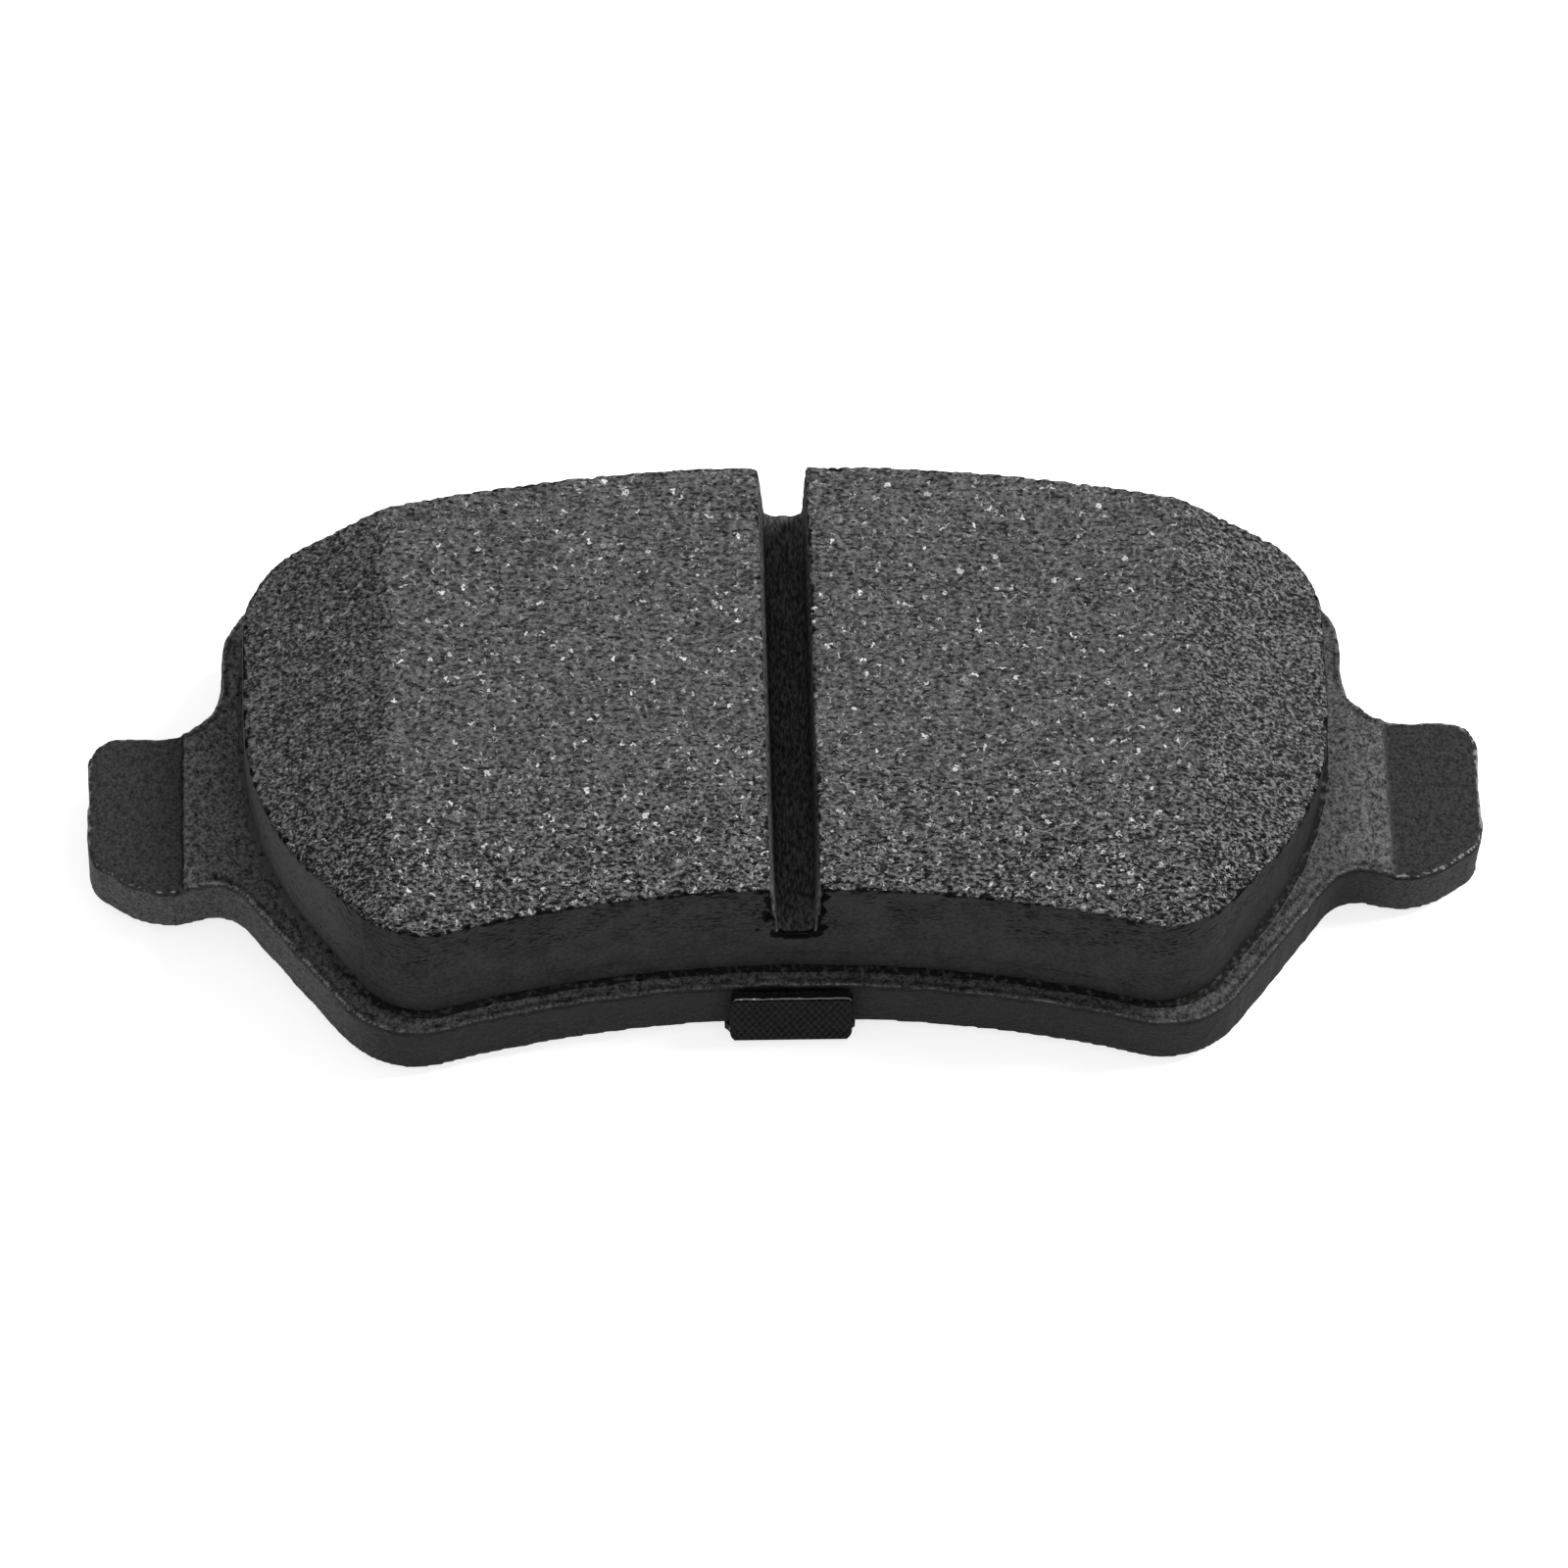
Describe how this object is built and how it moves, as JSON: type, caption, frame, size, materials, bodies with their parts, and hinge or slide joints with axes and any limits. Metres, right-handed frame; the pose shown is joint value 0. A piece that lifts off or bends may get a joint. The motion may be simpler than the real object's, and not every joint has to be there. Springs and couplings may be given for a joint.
{
  "type": "disc brake pad",
  "caption": "Rear disc brake pad: steel backing plate with two guide ears, slotted and chamfered friction lining, and a clip-on noise shim.",
  "frame": {"origin": "middle of the pad's footprint in X and Y, on the outer face of the shim, where the caliper piston presses", "axes": "+X along the pad from ear tip to ear tip, +Y away from the rotor's axis, +Z from the backing plate to the friction face"},
  "size_m": [0.0954, 0.0394, 0.0168],
  "materials": {
    "plate_coating": "satin black powder coat, rough on the faces and smooth on the sheared edges",
    "bonding_resin": "cured phenolic film",
    "underlayer_compound": "dense dark moulded compound",
    "friction_compound": "ground grey friction compound with pits and bright specks",
    "shim_adhesive": "tacky pressure-sensitive film",
    "shim_rubber": "matt black rubber coat with a fine pressed weave",
    "shim_steel": "cold-rolled strip, bare only at its cut edges"
  },
  "bodies": {
    "root": {"backing_plate": "plate_coating", "bonding_film": "bonding_resin", "underlayer": "underlayer_compound", "friction_lining": "friction_compound", "shim_adhesive": "shim_adhesive", "shim_rubber_inner": "shim_rubber", "shim_steel": "shim_steel", "shim_rubber_outer": "shim_rubber"}
  },
  "joints": []
}
